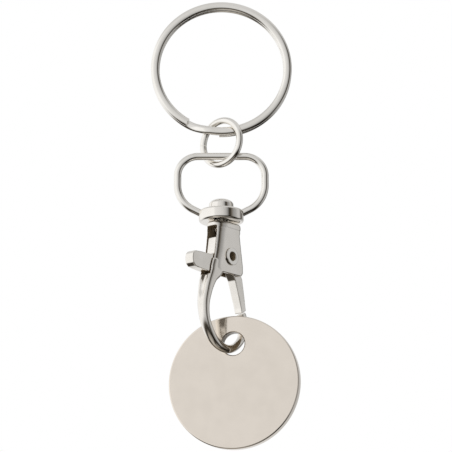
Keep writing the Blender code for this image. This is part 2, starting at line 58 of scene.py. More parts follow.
ring_crank_to_deg = 358.4
ring_end_deg = 691.2
ring_tail_deg = 9.0
ring_tail_taper = 0.6
ring_step_deg = 1.5


def linear(hex_colour):
    """sRGB hex colour to the linear colour that a shader takes."""
    channels = [int(hex_colour[i:i + 2], 16) / 255 for i in (1, 3, 5)]
    return [c / 12.92 if c <= 0.04045 else ((c + 0.055) / 1.055) ** 2.4 for c in channels] + [1.0]


def add_node(tree, kind, values=None, **settings):
    """Add a node, set its options and then its unlinked inputs."""
    node = tree.nodes.new(kind)
    for name, value in settings.items():
        setattr(node, name, value)
    for name, value in (values or {}).items():
        node.inputs[name].default_value = value
    return node


# A Mix node set to colour takes its two colours and gives their mix at these sockets.
first_colour = 6
second_colour = 7
mixed_colour = 2
# Painted shade: the dull brown that deep hollows get in place of bright metal.
hollow_shade_brown = "#94836A"
cloud_scale = 320.0
cloud_from = 0.35
cloud_to = 0.65
polish_scale = 900.0
polish_least = 0.75
polish_most = 1.3


def fill_ramp(ramp, stops):
    """Set a colour ramp to (position, hex colour) stops."""
    while len(ramp.elements) < len(stops):
        ramp.elements.new(1.0)
    for element, (position, hex_colour) in zip(ramp.elements, stops):
        element.position = position
        element.color = linear(hex_colour)


def plated_metal(name, pale, deep, roughness, grain_size, grain_height, stretch):
    """Plated metal: tint in 3 mm clouds, polish uneven over 1 mm, and a fine skin with its grain."""
    material = bpy.data.materials.new(name)
    material.use_nodes = True
    tree = material.node_tree
    shader = tree.nodes["Principled BSDF"]
    place = add_node(tree, "ShaderNodeTexCoord")
    grain_place = add_node(tree, "ShaderNodeMapping", {"Scale": stretch})
    tint_noise = add_node(tree, "ShaderNodeTexNoise", {"Scale": cloud_scale, "Detail": 3.0})
    tint = add_node(tree, "ShaderNodeValToRGB")
    fill_ramp(tint.color_ramp, [(cloud_from, deep), (cloud_to, pale)])
    # Painted shade: where a piece marks a deep hollow, the base colour turns to the dull brown and the
    # metallic amount drops to nothing.
    hollow_shade_mask = add_node(tree, "ShaderNodeAttribute", attribute_name="hollow_shade_mask")
    shade = add_node(tree, "ShaderNodeMix", {second_colour: linear(hollow_shade_brown)}, data_type="RGBA")
    plated = add_node(tree, "ShaderNodeMath", {0: 1.0}, operation="SUBTRACT")
    polish_noise = add_node(tree, "ShaderNodeTexNoise", {"Scale": polish_scale, "Detail": 4.0})
    polish_range = {"To Min": roughness * polish_least, "To Max": roughness * polish_most}
    polish = add_node(tree, "ShaderNodeMapRange", polish_range)
    grain_look = {"Scale": 1.0 / grain_size, "Detail": 5.0, "Roughness": 0.6}
    grain = add_node(tree, "ShaderNodeTexNoise", grain_look)
    bump = add_node(tree, "ShaderNodeBump", {"Strength": 0.5, "Distance": grain_height})
    link = tree.links.new
    link(place.outputs["Object"], tint_noise.inputs["Vector"])
    link(place.outputs["Object"], polish_noise.inputs["Vector"])
    link(place.outputs["Object"], grain_place.inputs["Vector"])
    link(grain_place.outputs["Vector"], grain.inputs["Vector"])
    link(tint_noise.outputs["Fac"], tint.inputs["Fac"])
    link(hollow_shade_mask.outputs["Fac"], shade.inputs[0])
    link(hollow_shade_mask.outputs["Fac"], plated.inputs[1])
    link(plated.outputs["Value"], shader.inputs["Metallic"])
    link(tint.outputs["Color"], shade.inputs[first_colour])
    link(shade.outputs[mixed_colour], shader.inputs["Base Color"])
    link(polish_noise.outputs["Fac"], polish.inputs["Value"])
    link(polish.outputs["Result"], shader.inputs["Roughness"])
    link(grain.outputs["Fac"], bump.inputs["Height"])
    link(bump.outputs["Normal"], shader.inputs["Normal"])
    return material


def route_object(name, points):
    """A bare line of points for a node tree to turn into wire."""
    mesh = bpy.data.meshes.new(name)
    mesh.from_pydata(points, [(i, i + 1) for i in range(len(points) - 1)], [])
    route = bpy.data.objects.new(name, mesh)
    bpy.context.scene.collection.objects.link(route)
    return route


def start_tree(name, sizes):
    """Geometry tree with a mesh in and out, a material and one named input for each size."""
    tree = bpy.data.node_groups.new(name, "GeometryNodeTree")
    tree.interface.new_socket("Geometry", in_out="INPUT", socket_type="NodeSocketGeometry")
    for size in sizes:
        tree.interface.new_socket(size, in_out="INPUT", socket_type="NodeSocketFloat")
    tree.interface.new_socket("Finish", in_out="INPUT", socket_type="NodeSocketMaterial")
    tree.interface.new_socket("Geometry", in_out="OUTPUT", socket_type="NodeSocketGeometry")
    return tree, add_node(tree, "NodeGroupInput"), add_node(tree, "NodeGroupOutput")


def end_tree(tree, source, target, shape):
    """Realize the wire, give it its finish and send it out."""
    realize = add_node(tree, "GeometryNodeRealizeInstances")
    finish = add_node(tree, "GeometryNodeSetMaterial")
    tree.links.new(shape, realize.inputs["Geometry"])
    tree.links.new(realize.outputs["Geometry"], finish.inputs["Geometry"])
    tree.links.new(source.outputs["Finish"], finish.inputs["Material"])
    tree.links.new(finish.outputs["Geometry"], target.inputs["Geometry"])


def run_tree(route, tree, values):
    """Put a tree on a route and set its inputs by their identifiers."""
    modifier = route.modifiers.new(tree.name, "NODES")
    modifier.node_group = tree
    for socket in tree.interface.items_tree:
        if socket.in_out == "INPUT" and socket.name in values:
            modifier[socket.identifier] = values[socket.name]


def rim_flats(mesh):
    """Mark the rims of the largest flat faces sharp, so that a flat catches even light."""
    same_level = 0.99999
    shape = bmesh.new()
    shape.from_mesh(mesh)
    flat = max(shape.faces, key=lambda face: face.calc_area()).normal.copy()
    for edge in shape.edges:
        levels = {abs(face.normal.dot(flat)) > same_level for face in edge.link_faces}
        if len(levels) == 2:
            edge.smooth = False
    shape.to_mesh(mesh)
    shape.free()


def settle(source, name, material, place=Matrix.Identity(4), sharp_deg=40.0, flats=False):
    """Turn what the modifiers make into one plain mesh with its place in its vertices."""
    bpy.context.view_layer.update()
    evaluated = source.evaluated_get(bpy.context.evaluated_depsgraph_get())
    mesh = bpy.data.meshes.new_from_object(evaluated)
    mesh.name = name
    mesh.transform(place)
    mesh.materials.clear()
    mesh.materials.append(material)
    mesh.shade_smooth()
    mesh.set_sharp_from_angle(angle=math.radians(sharp_deg))
    if flats:
        rim_flats(mesh)
    piece = bpy.data.objects.new(name, mesh)
    bpy.context.scene.collection.objects.link(piece)
    bpy.data.objects.remove(source, do_unlink=True)
    return piece


def paint_hollow_shade(piece, is_inside):
    """Mark the points inside a deep hollow, where the finish paints shade: dull, dark brown in place of
    bright metal.
    """
    hollow_shade_mask = piece.data.attributes.new("hollow_shade_mask", "FLOAT", "POINT")
    for point, mark in zip(piece.data.vertices, hollow_shade_mask.data):
        mark.value = 1.0 if is_inside(point.co) else 0.0


def show_as(piece, body, slot, *nodes):
    """Let a finished piece move with its body and stand for its solids."""
    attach(piece, body)
    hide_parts(*nodes)


def smoothstep(value):
    value = min(max(value, 0.0), 1.0)
    return value * value * (3 - 2 * value)


# Bright nickel on drawn wire is a near mirror, faintly warm, with hardly any grain.
ring_nickel = plated_metal(
    "bright nickel on spring wire",
    pale="#F8F5F0",
    deep="#F3F0EA",
    roughness=0.06,
    grain_size=0.00060,
    grain_height=0.0000020,
    stretch=(1, 1, 1),
)

flat_sizes = ["Wire Width", "Wire Thickness", "Tail Share", "Tail Taper"]
flat_wire, flat_in, flat_out = start_tree("flattened wire", flat_sizes)
to_curve = add_node(flat_wire, "GeometryNodeMeshToCurve")
along = add_node(flat_wire, "GeometryNodeSplineParameter")
tail_start = add_node(flat_wire, "ShaderNodeMath", {0: 1.0}, operation="SUBTRACT")
tail_range = {"From Max": 1.0, "To Min": 1.0}
tail = add_node(flat_wire, "ShaderNodeMapRange", tail_range, interpolation_type="SMOOTHSTEP")
set_radius = add_node(flat_wire, "GeometryNodeSetCurveRadius")
set_normal = add_node(flat_wire, "GeometryNodeSetCurveNormal", mode="Z_UP")
section = add_node(flat_wire, "GeometryNodeCurvePrimitiveCircle", {"Resolution": 32, "Radius": 0.5})
section_size = add_node(flat_wire, "ShaderNodeCombineXYZ", {"Z": 1.0})
flatten = add_node(flat_wire, "GeometryNodeTransform")
sweep = add_node(flat_wire, "GeometryNodeCurveToMesh", {"Fill Caps": True})
stand = add_node(flat_wire, "GeometryNodeTransform", {"Rotation": (math.pi / 2, 0.0, 0.0)})
flat_link = flat_wire.links.new
flat_link(flat_in.outputs["Geometry"], to_curve.inputs["Mesh"])
flat_link(flat_in.outputs["Tail Share"], tail_start.inputs[1])
flat_link(tail_start.outputs["Value"], tail.inputs["From Min"])
flat_link(flat_in.outputs["Tail Taper"], tail.inputs["To Max"])
flat_link(along.outputs["Factor"], tail.inputs["Value"])
flat_link(tail.outputs["Result"], set_radius.inputs["Radius"])
flat_link(to_curve.outputs["Curve"], set_radius.inputs["Curve"])
flat_link(set_radius.outputs["Curve"], set_normal.inputs["Curve"])
flat_link(flat_in.outputs["Wire Width"], section_size.inputs["X"])
flat_link(flat_in.outputs["Wire Thickness"], section_size.inputs["Y"])
flat_link(section.outputs["Curve"], flatten.inputs["Geometry"])
flat_link(section_size.outputs["Vector"], flatten.inputs["Scale"])
flat_link(set_normal.outputs["Curve"], sweep.inputs["Curve"])
flat_link(flatten.outputs["Geometry"], sweep.inputs["Profile Curve"])
flat_link(sweep.outputs["Mesh"], stand.inputs["Geometry"])
end_tree(flat_wire, flat_in, flat_out, stand.outputs["Geometry"])

ring_mid_radius = ring_outer_radius - ring_wire_width / 2
ring_points = []
ring_steps = round(ring_end_deg / ring_step_deg)
for step in range(ring_steps + 1):
    turned = ring_end_deg * step / ring_steps
    angle = math.radians(ring_start_deg - turned)
    shift = smoothstep((turned - ring_crank_from_deg) / (ring_crank_to_deg - ring_crank_from_deg))
    depth = (0.5 - shift) * (ring_wire_thickness + ring_coil_gap)
    ring_points.append((ring_mid_radius * math.cos(angle), ring_mid_radius * math.sin(angle), depth))
ring_route = route_object("split ring route", ring_points)
run_tree(ring_route, flat_wire, {
    "Wire Width": ring_wire_width,
    "Wire Thickness": ring_wire_thickness,
    "Tail Share": ring_tail_deg / ring_end_deg,
    "Tail Taper": ring_tail_taper,
    "Finish": ring_nickel,
})
ring_place = Matrix.Translation((0, 0, ring_centre_z))
split_ring_wire = settle(ring_route, "split_ring_wire", ring_nickel, ring_place)
show_as(split_ring_wire, "split_ring_body", "ring_nickel", "split_ring")


# Jump ring: round wire bent round, its two cut ends butted together on the far left side.
# It is the same bright plated wire as the split ring, and it stands askew in it.
jump_low, jump_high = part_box("jump_ring")
jump_centre_z = (jump_low[2] + jump_high[2]) / 2
jump_wire_diameter = 0.00120
jump_mid_radius = (jump_high[2] - jump_low[2]) / 2 - jump_wire_diameter / 2
jump_turn = math.radians(37.0)
jump_cut_gap = 0.00012
jump_steps = 180

round_wire, round_in, round_out = start_tree("round wire", ["Wire Diameter"])
round_curve = add_node(round_wire, "GeometryNodeMeshToCurve")
round_radius = add_node(round_wire, "ShaderNodeMath", {1: 0.5}, operation="MULTIPLY")
round_section = add_node(round_wire, "GeometryNodeCurvePrimitiveCircle", {"Resolution": 28})
round_sweep = add_node(round_wire, "GeometryNodeCurveToMesh", {"Fill Caps": True})
round_link = round_wire.links.new
round_link(round_in.outputs["Geometry"], round_curve.inputs["Mesh"])
round_link(round_in.outputs["Wire Diameter"], round_radius.inputs[0])
round_link(round_radius.outputs["Value"], round_section.inputs["Radius"])
round_link(round_curve.outputs["Curve"], round_sweep.inputs["Curve"])
round_link(round_section.outputs["Curve"], round_sweep.inputs["Profile Curve"])
end_tree(round_wire, round_in, round_out, round_sweep.outputs["Mesh"])

jump_cut = jump_cut_gap / jump_mid_radius
jump_points = []
for step in range(jump_steps + 1):
    angle = math.pi + jump_cut / 2 + (math.tau - jump_cut) * step / jump_steps
    along_x = jump_mid_radius * math.cos(angle)
    up = jump_centre_z + jump_mid_radius * math.sin(angle)
    jump_points.append((along_x * math.cos(jump_turn), -along_x * math.sin(jump_turn), up))
jump_route = route_object("jump ring route", jump_points)
run_tree(jump_route, round_wire, {"Wire Diameter": jump_wire_diameter, "Finish": ring_nickel})
jump_ring_wire = settle(jump_route, "jump_ring_wire", ring_nickel)
show_as(jump_ring_wire, "jump_ring_body", "ring_nickel", "jump_ring")


# Swivel loop: round wire bent flat across the top and rounded at the shoulders, with its two
# ends pushed into slanting holes in the collar. Bright nickel plate over soft steel wire.
loop_low, loop_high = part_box("swivel_loop")
loop_wire_diameter = 0.0013
loop_bar_z = loop_high[2] - loop_wire_diameter / 2
loop_bar_height = 0.0109
swivel_z = loop_bar_z - loop_bar_height
loop_half_width = (loop_high[0] - loop_low[0]) / 2 - loop_wire_diameter / 2
loop_top_radius = 0.00355
loop_widest_height = 0.0057
loop_slope_deg = 27.0
loop_start_x = 0.0024
loop_arc_steps = 30


def arc(centre, radius, start_deg, end_deg, steps):
    """Points on an arc, ends included."""
    points = []
    for step in range(steps + 1):
        angle = math.radians(start_deg + (end_deg - start_deg) * step / steps)
        points.append((centre[0] + radius * math.cos(angle), centre[1] + radius * math.sin(angle)))
    return points


loop_slope = math.tan(math.radians(loop_slope_deg))
loop_turn_deg = 90.0 - loop_slope_deg
loop_turn = math.radians(loop_turn_deg)
loop_rise = loop_widest_height - (loop_half_width - loop_start_x) * loop_slope
loop_lower_radius = loop_rise / (math.sin(loop_turn) - (1 - math.cos(loop_turn)) * loop_slope)
loop_lower_centre = (loop_half_width - loop_lower_radius, loop_widest_height)
loop_lower = arc(loop_lower_centre, loop_lower_radius, -loop_turn_deg, 0.0, loop_arc_steps)
loop_upper_centre = (loop_half_width - loop_top_radius, loop_bar_height - loop_top_radius)
loop_upper = arc(loop_upper_centre, loop_top_radius, 0.0, 90.0, loop_arc_steps)
loop_right = [(loop_start_x, 0.0)] + loop_lower + loop_upper
loop_points = loop_right + [(-x, z) for x, z in reversed(loop_right)]
loop_route = route_object("swivel loop route", [(x, 0.0, swivel_z + z) for x, z in loop_points])
run_tree(loop_route, round_wire, {"Wire Diameter": loop_wire_diameter, "Finish": ring_nickel})
swivel_loop_wire = settle(loop_route, "swivel_loop_wire", ring_nickel)
show_as(swivel_loop_wire, "loop_body", "ring_nickel", "swivel_loop")


# Swivel collar: a short turned ring that carries the loop and spins on the stud. It is a zinc
# part with rounded edges, nickel plated, with one slanting hole on each side for the loop.
collar_low, collar_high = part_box("swivel_collar")
collar_radius = (collar_high[0] - collar_low[0]) / 2
collar_half_height = (collar_high[2] - collar_low[2]) / 2
collar_edge_radius = 0.00045
collar_bore_radius = 0.0012
collar_lip = 0.00012
collar_socket_radius = 0.00077
collar_socket_length = 0.003
collar_socket_lead = 0.0001
collar_end_play = 0.00018
collar_segments = 160
edge_steps = 10

# Bright nickel on a turned or cast zinc part is nearly as bright as on wire, a little softer.
cast_nickel = plated_metal(
    "bright nickel on a zinc casting",
    pale="#F8F4EE",
    deep="#F2EEE8",
    roughness=0.09,
    grain_size=0.00045,
    grain_height=0.0000040,
    stretch=(1, 1, 1),
)


def lathe(name, profile, segments):
    """Turned piece from (radius, height) points; a closed outline where it misses the axis."""
    shape = bmesh.new()
    rings = []
    for radius, height in profile:
        count = segments if radius else 1
        turn = math.tau / count
        ring = []
        for i in range(count):
            angle = i * turn
            ring.append(shape.verts.new((radius * math.cos(angle), radius * math.sin(angle), height)))
        rings.append(ring)
    pairs = list(zip(rings, rings[1:]))
    if len(rings[0]) > 1:
        pairs.append((rings[-1], rings[0]))
    for first, second in pairs:
        for i in range(segments):
            j = (i + 1) % segments
            corners = [first[i % len(first)], first[j % len(first)]]
            corners += [second[j % len(second)], second[i % len(second)]]
            corners = list(dict.fromkeys(corners))
            if len(corners) > 2:
                shape.faces.new(corners)
    bmesh.ops.recalc_face_normals(shape, faces=shape.faces)
    return bmesh_object(name, shape)


def bmesh_object(name, shape):
    mesh = bpy.data.meshes.new(name)
    shape.to_mesh(mesh)
    shape.free()
    item = bpy.data.objects.new(name, mesh)
    bpy.context.scene.collection.objects.link(item)
    return item


def rod(name, radius, length, place, segments=64):
    """Plain round cutter, put where it cuts."""
    half = length / 2
    item = lathe(name, [(0, half), (radius, half), (radius, -half), (0, -half)], segments)
    item.data.transform(place)
    return item


def cut(piece, tools, operation="DIFFERENCE"):
    for tool in tools:
        modifier = piece.modifiers.new(tool.name, "BOOLEAN")
        modifier.operation = operation
        modifier.solver = "EXACT"
        modifier.object = tool
        tool.hide_render = True


def drop(tools):
    for tool in tools:
        bpy.data.objects.remove(tool, do_unlink=True)


collar_shoulder = collar_half_height - collar_edge_radius
collar_edge_centre = collar_radius - collar_edge_radius
collar_mouth_radius = collar_bore_radius + collar_lip
collar_outline = [
    (collar_bore_radius, collar_half_height - collar_lip),
    (collar_mouth_radius, collar_half_height),
    *arc((collar_edge_centre, collar_shoulder), collar_edge_radius, 90.0, 0.0, edge_steps),
    *arc((collar_edge_centre, -collar_shoulder), collar_edge_radius, 0.0, -90.0, edge_steps),
    (collar_mouth_radius, -collar_half_height),
    (collar_bore_radius, collar_lip - collar_half_height),
]
collar_blank = lathe("collar blank", collar_outline, collar_segments)
collar_blank.data.shade_smooth()
collar_sockets = []
for side in (1, -1):
    mouth = Matrix.Translation((side * (loop_start_x - collar_socket_lead), 0, 0))
    lean = Matrix.Rotation(math.radians(90.0 - loop_slope_deg) * side, 4, "Y")
    outwards = Matrix.Translation((0, 0, collar_socket_length / 2))
    socket_place = mouth @ lean @ outwards
    socket = rod(f"collar socket {side}", collar_socket_radius, collar_socket_length, socket_place)
    collar_sockets.append(socket)
cut(collar_blank, collar_sockets)
collar_place = Matrix.Translation((0, 0, swivel_z))
collar_turning = settle(
    collar_blank, "collar_turning", cast_nickel, collar_place, sharp_deg=50.0, flats=True
)
drop(collar_sockets)
show_as(collar_turning, "loop_body", "cast_nickel", "swivel_collar")


# Swivel stud: a pin with a low domed head. Its tail is riveted in the crown of the hook, and
# the collar turns on its post. Turned steel, plated with the rest of the hook.
stud_low, stud_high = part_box("swivel_stud")
stud_head_radius = (stud_high[0] - stud_low[0]) / 2
stud_seat_z = swivel_z + collar_half_height + collar_end_play
stud_rim_height = 0.00085
stud_edge = 0.00020
stud_edge_steps = 6
stud_post_radius = 0.0011
stud_segments = 96
stud_dome_step_deg = 6
stud_dome = []
stud_dome_height = stud_high[2] - stud_seat_z - stud_rim_height
for raised_deg in range(0, 91, stud_dome_step_deg):
    angle = math.radians(raised_deg)
    radius = stud_head_radius * math.cos(angle) if raised_deg < 90 else 0.0
    stud_dome.append((radius, stud_seat_z + stud_rim_height + stud_dome_height * math.sin(angle)))
stud_edge_centre = (stud_head_radius - stud_edge, stud_seat_z + stud_edge)
stud_under = arc(stud_edge_centre, stud_edge, 0.0, -90.0, stud_edge_steps)
stud_outline = stud_dome[::-1] + stud_under
stud_outline += [(stud_post_radius, stud_seat_z), (stud_post_radius, stud_low[2]), (0, stud_low[2])]
stud_blank = lathe("stud blank", stud_outline, stud_segments)
stud_turning = settle(stud_blank, "stud_turning", cast_nickel)
show_as(stud_turning, "hook", "cast_nickel", "swivel_stud")


# Hook body: one zinc casting. A slotted block with a beaded shoulder carries the stud and the
# lever, and it runs down into a hook that thins and rounds towards its nose.
hook_turn = math.radians(50.0)
hook_place = Matrix.Translation((0, 0, swivel_z)) @ Matrix.Rotation(hook_turn, 4, "Z")
body_height = 0.0090
body_width = 0.0077
body_thickness = 0.0036
body_top = -collar_half_height - collar_end_play
hook_drop = 0.0233
hook_gape = 0.0108
hook_wire_width = 0.0016
hook_wire_thickness = 0.0020
pivot_across = 0.00085
pivot_down = 0.0072
gate_reach = 0.00998
gate_gap = 0.00022
nose_across_share = 0.434
nose_lead_share = 0.090
nose_width = 0.86 * hook_wire_width
nose_thickness = 0.75 * hook_wire_thickness
nose_roundness = 0.55
hook_row_steps = 10
hook_corner_steps = 16
cheek_stretch = 3.2
cheek_deepen = 1.75
wire_stretch = 1.6
wire_deepen = 1.6
lever_length = 0.0113
knob_foot_share = 0.307
slot_end_gap = 0.00025
slot_width = 0.0021
slot_crown = 0.0009
slot_back_wall = 0.00072
slot_row = 8
slot_bottom = -pivot_down - knob_foot_share * lever_length - slot_end_gap
slot_wall_rise = 0.0017
slot_wall_end = -pivot_down + slot_wall_rise
groove_radius = 0.00075
groove_depth = 0.00035
groove_overlap = 0.001
groove_last_row = 5
groove_fade_rows = 10
groove_corner_steps = 6
cheek_hole_radius = 0.00105
stud_hole_radius = 0.0012
stud_hole_length = 0.004
cutter_length = 0.006
# Block rows: down, then reach to the spine and to the gate, thickness and roundness, as shares.
block_shares = (
    (0.00, 0.330, 0.425, 1.00, 0.50),
    (0.02, 0.352, 0.447, 1.05, 0.46),
    (0.06, 0.358, 0.455, 1.06, 0.44),
    (0.105, 0.356, 0.454, 1.05, 0.44),
    (0.125, 0.346, 0.440, 0.97, 0.40),
    (0.145, 0.350, 0.450, 1.00, 0.40),
    (0.175, 0.348, 0.444, 0.97, 0.38),
    (0.21, 0.345, 0.434, 0.955, 0.38),
    (0.42, 0.376, 0.475, 0.94, 0.38),
    (0.62, 0.410, 0.520, 0.91, 0.38),
    (0.80, 0.458, 0.560, 0.89, 0.38),
    (0.93, 0.500, 0.570, 0.88, 0.42),
    (0.985, 0.512, 0.550, 0.84, 0.55),
    (1.00, 0.512, 0.520, 0.76, 0.75),
)
# Hook rows: across and down, then width, thickness and roundness, as shares.
hook_shares = (
    (-0.184, 0.370, 2.20, 1.48, 0.45),
    (-0.250, 0.436, 2.00, 1.46, 0.45),
    (-0.314, 0.486, 1.42, 1.40, 0.50),
    (-0.358, 0.532, 1.22, 1.32, 0.52),
    (-0.396, 0.588, 1.08, 1.22, 0.58),
    (-0.436, 0.687, 0.96, 1.08, 0.66),
    (-0.412, 0.785, 0.93, 0.95, 0.76),
    (-0.335, 0.862, 0.99, 0.93, 0.85),
    (-0.215, 0.930, 1.04, 0.92, 0.95),
    (-0.060, 0.973, 1.02, 0.86, 1.00),
    (0.120, 0.990, 0.95, 0.80, 1.00),
    (0.300, 0.972, 0.89, 0.75, 1.00),
    (0.450, 0.920, 0.85, 0.73, 1.00),
    (0.517, 0.860, 0.85, 0.74, 0.90),
)


def rounded_section(width, thickness, roundness, corner_steps, spine_side, stretch, deepen=1.0):
    """Rounded rectangle, whose corners on the spine side run out along the width."""
    radius = roundness * min(width, thickness) / 2
    points = []
    for quarter in range(4):
        side_a = 1 if quarter in (0, 3) else -1
        side_b = 1 if quarter in (0, 1) else -1
        on_spine = side_a == spine_side
        reach = min(radius * (stretch if on_spine else 1), width / 2)
        rise = min(radius * (deepen if on_spine else 1), thickness / 2)
        for step in range(corner_steps):
            angle = math.pi / 2 * (quarter + (step + 0.5) / corner_steps)
            a = side_a * (width / 2 - reach) + reach * math.cos(angle)
            b = side_b * (thickness / 2 - rise) + rise * math.sin(angle)
            points.append((a, b))
    return points


def smooth_rows(rows, steps):
    """Catmull-Rom curve through rows of values."""
    fine = []
    last = len(rows) - 1
    for index in range(last):
        four = (rows[max(index - 1, 0)], rows[index], rows[index + 1], rows[min(index + 2, last)])
        for step in range(steps):
            t = step / steps
            row = []
            for p0, p1, p2, p3 in zip(*four):
                bend = (p2 - p0) * t + (2 * p0 - 5 * p1 + 4 * p2 - p3) * t ** 2
                row.append(p1 + (bend + (3 * p1 - p0 - 3 * p2 + p3) * t ** 3) / 2)
            fine.append(row)
    fine.append(list(rows[last]))
    return fine


def loft(name, stations):
    """Skin a row of sections; a station is its centre, two axes and its section points."""
    shape = bmesh.new()
    rings = []
    for centre, axis_a, axis_b, section in stations:
        rings.append([shape.verts.new(centre + axis_a * a + axis_b * b) for a, b in section])
    count = len(rings[0])
    for first, second in zip(rings, rings[1:]):
        for i in range(count):
            j = (i + 1) % count
            shape.faces.new((first[i], first[j], second[j], second[i]))
    shape.faces.new(rings[0])
    shape.faces.new(rings[-1])
    bmesh.ops.recalc_face_normals(shape, faces=shape.faces)
    return bmesh_object(name, shape)


def path_stations(rows, corner_steps, stretch=1.0, deepen=1.0):
    """Sections square to a line in the hook's plane; a row is x, z, width, thickness, roundness."""
    stations = []
    last = len(rows) - 1
    for index, (x, z, width, thickness, roundness) in enumerate(rows):
        before = rows[max(index - 1, 0)]
        after = rows[min(index + 1, last)]
        along = Vector((after[0] - before[0], 0, after[1] - before[1])).normalized()
        side = Vector((along.z, 0, -along.x))
        section = rounded_section(width, thickness, roundness, corner_steps, 1, stretch, deepen)
        stations.append((Vector((x, 0, z)), side, Vector((0, 1, 0)), section))
    return stations


def plate(name, outline, thickness):
    """Flat plate with the given X-Z outline, centred on Y."""
    shape = bmesh.new()
    face = shape.faces.new([shape.verts.new((x, -thickness / 2, z)) for x, z in outline])
    grown = bmesh.ops.extrude_face_region(shape, geom=[face])
    moved = [item for item in grown["geom"] if isinstance(item, bmesh.types.BMVert)]
    bmesh.ops.translate(shape, vec=(0, thickness, 0), verts=moved)
    bmesh.ops.recalc_face_normals(shape, faces=shape.faces)
    return bmesh_object(name, shape)


def cast_skin(piece, grain, passes):
    """Even, softly rounded skin, as a plated casting has."""
    skin = piece.modifiers.new("cast skin", "REMESH")
    skin.mode = "VOXEL"
    skin.voxel_size = grain
    skin.use_smooth_shade = True
    soften = piece.modifiers.new("soft edges", "SMOOTH")
    soften.factor = 0.5
    soften.iterations = passes


hook_rows = []
for across, down, width, thickness, roundness in hook_shares:
    section_size = [width * hook_wire_width, thickness * hook_wire_thickness]
    hook_rows.append([across * hook_gape, -down * hook_drop] + section_size + [roundness])
nose_down_share = math.sqrt(1 - nose_across_share ** 2)
for length in ((gate_reach + gate_gap) * (1 + nose_lead_share), gate_reach + gate_gap):
    nose_x = pivot_across + length * nose_across_share
    nose_z = -pivot_down - length * nose_down_share
    hook_rows.append([nose_x, nose_z, nose_width, nose_thickness, nose_roundness])
hook_rows = smooth_rows(hook_rows, hook_row_steps)
hook_wire = loft("hook wire", path_stations(hook_rows, hook_corner_steps, wire_stretch, wire_deepen))

block_stations = []
for down, spine, gate, thickness, roundness in block_shares:
    left = -spine * body_width
    right = gate * body_width
    centre = Vector(((left + right) / 2, 0, body_top - down * body_height))
    corners = (roundness, hook_corner_steps, -1, cheek_stretch, cheek_deepen)
    section = rounded_section(right - left, thickness * body_thickness, *corners)
    block_stations.append((centre, Vector((1, 0, 0)), Vector((0, 1, 0)), section))
hook_block = loft("hook block", block_stations)

slot_wall = block_shares[slot_row][2] * body_width - slot_back_wall
slot_top = body_top - slot_crown
slot_outline = [(-body_width, slot_bottom), (body_width, slot_bottom), (body_width, slot_wall_end)]
slot_outline += [(slot_wall, slot_wall_end), (slot_wall, slot_top), (-body_width, slot_top)]
lever_slot = plate("lever slot", slot_outline, slot_width)

groove_rows = []
groove_top = slot_bottom + groove_overlap
groove_bottom = -hook_shares[groove_last_row][1] * hook_drop
groove_line = [row for row in hook_rows if groove_bottom <= row[1] <= groove_top and row[0] < 0]
for index, row in enumerate(groove_line):
    before = groove_line[max(index - 1, 0)]
    after = groove_line[min(index + 1, len(groove_line) - 1)]
    heading = Vector((after[0] - before[0], 0, after[1] - before[1])).normalized()
    fade = smoothstep((len(groove_line) - 1 - index) / groove_fade_rows)
    out = row[2] / 2 + groove_radius - groove_depth * fade
    groove_centre = [row[0] + heading.z * out, row[1] - heading.x * out]
    groove_rows.append(groove_centre + [2 * groove_radius, 2 * groove_radius, 1.0])
spine_groove = loft("spine groove", path_stations(groove_rows, groove_corner_steps))

face_on = Matrix.Rotation(math.pi / 2, 4, "X")
pivot_place = Matrix.Translation((pivot_across, 0, -pivot_down))
rivet_hole = rod("rivet hole", cheek_hole_radius, cutter_length, pivot_place @ face_on)
stud_hole = rod("stud hole", stud_hole_radius, stud_hole_length, Matrix.Translation((0, 0, body_top)))
cut(hook_block, [hook_wire], "UNION")
hook_tools = [lever_slot, spine_groove, rivet_hole, stud_hole]
cut(hook_block, hook_tools)
cast_skin(hook_block, grain=0.000075, passes=6)

# Nickel on an unpolished casting is a touch satin, so its flats give a soft even grey.
satin_nickel = plated_metal(
    "satin nickel on a zinc casting",
    pale="#F6F2EC",
    deep="#EEEAE3",
    roughness=0.13,
    grain_size=0.00045,
    grain_height=0.0000040,
    stretch=(1, 1, 1),
)
hook_casting = settle(hook_block, "hook_casting", satin_nickel, hook_place, sharp_deg=75.0)
drop([hook_wire] + hook_tools)
hook_frame = hook_place.inverted()
slot_side_margin = 0.00004
slot_end_margin = 0.00005
slot_wall_margin = 0.0001


def in_lever_slot(point):
    x, y, z = hook_frame @ point
    between_cheeks = abs(y) < slot_width / 2 + slot_side_margin
    between_ends = slot_bottom - slot_end_margin < z < slot_top + slot_end_margin
    return between_cheeks and between_ends and x < slot_wall + slot_wall_margin


# Painted shade: the walls inside the lever slot get the dull brown, standing in for the shade between
# the cheeks.
paint_hollow_shade(hook_casting, in_lever_slot)
show_as(hook_casting, "hook", "cast_nickel", "hook_body")


